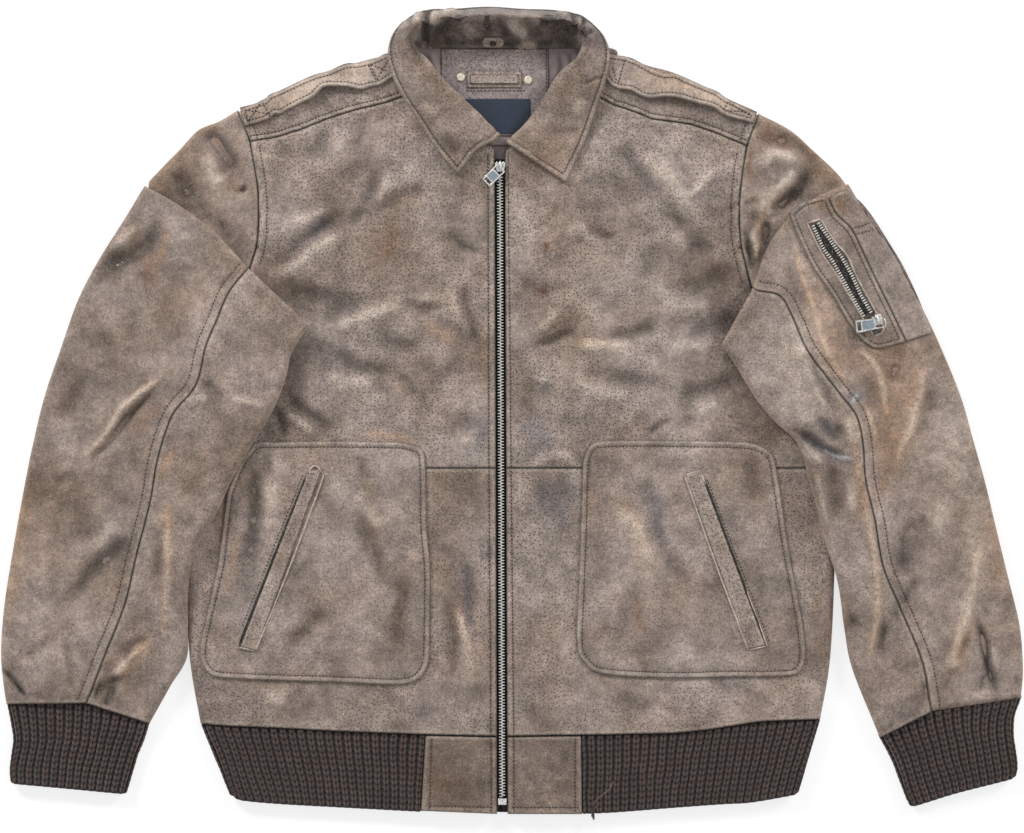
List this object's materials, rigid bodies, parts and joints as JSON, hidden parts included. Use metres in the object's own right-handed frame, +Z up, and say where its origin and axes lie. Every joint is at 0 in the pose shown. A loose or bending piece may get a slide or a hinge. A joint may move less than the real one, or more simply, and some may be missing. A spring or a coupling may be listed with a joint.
{
  "type": "worn leather jacket",
  "caption": "Worn brown leather flight jacket laid flat, zipped up, with rib-knit waistband and cuffs, epaulettes, slanted welt pockets and a zipped pocket on one sleeve.",
  "frame": {"origin": "on the surface that the jacket lies on, below the middle of its outline", "axes": "+X to the wearer's left, +Y to the collar, +Z up off the surface"},
  "size_m": [0.948, 0.7494, 0.0368],
  "materials": {
    "leather": "worn taupe-brown pigskin nubuck, matt, with rubbed lighter edges and rust patches",
    "knit": "dark plum-brown rib knit",
    "satin": "mauve-grey satin lining",
    "label": "plain navy woven cloth",
    "tape": "black woven zip tape",
    "zip_metal": "dull worn nickel",
    "snap": "dull pale brass"
  },
  "bodies": {
    "jacket": {"back_panel": "leather", "collar_leaf": "leather", "collar_stand": "leather", "collar_tab": "leather", "collar_tab_snap": "snap", "hanger_loop": "leather", "hanger_patch": "leather", "left_cuff": "knit", "left_epaulette": "leather", "left_front_lower": "leather", "left_front_upper": "leather", "left_hem_tab": "leather", "left_neck_snap": "snap", "left_pocket": "leather", "left_top_sleeve": "leather", "left_under_sleeve": "leather", "left_welt": "leather", "left_yoke": "leather", "left_zip_tape": "tape", "neck_facing": "leather", "neck_label": "label", "neck_lining": "satin", "pen_strip": "leather", "right_cuff": "knit", "right_epaulette": "leather", "right_front_lower": "leather", "right_front_upper": "leather", "right_hem_tab": "leather", "right_neck_snap": "snap", "right_pocket": "leather", "right_top_sleeve": "leather", "right_under_sleeve": "leather", "right_welt": "leather", "right_yoke": "leather", "right_zip_tape": "tape", "sleeve_pocket": "leather", "sleeve_slider": "zip_metal", "sleeve_zip_tape": "tape", "waistband": "knit", "zip_box": "zip_metal", "zip_chain": "zip_metal", "zip_guard": "leather", "zip_slider": "zip_metal"},
    "main_pull": {"zip_pull": "zip_metal"},
    "sleeve_pull_tab": {"sleeve_pull": "zip_metal"}
  },
  "joints": [
    {"name": "main_pull_hinge", "type": "hinge", "parent": "jacket", "child": "main_pull", "pos_m": [-0.0109, 0.2258, 0.0165], "axis": [-0.6959, 0.7181, 0], "range_deg": [0, 100]},
    {"name": "sleeve_pull_hinge", "type": "hinge", "parent": "jacket", "child": "sleeve_pull_tab", "pos_m": [0.3367, 0.0852, 0.02768], "axis": [-0.9923, -0.1236, 0], "range_deg": [0, 100]}
  ]
}
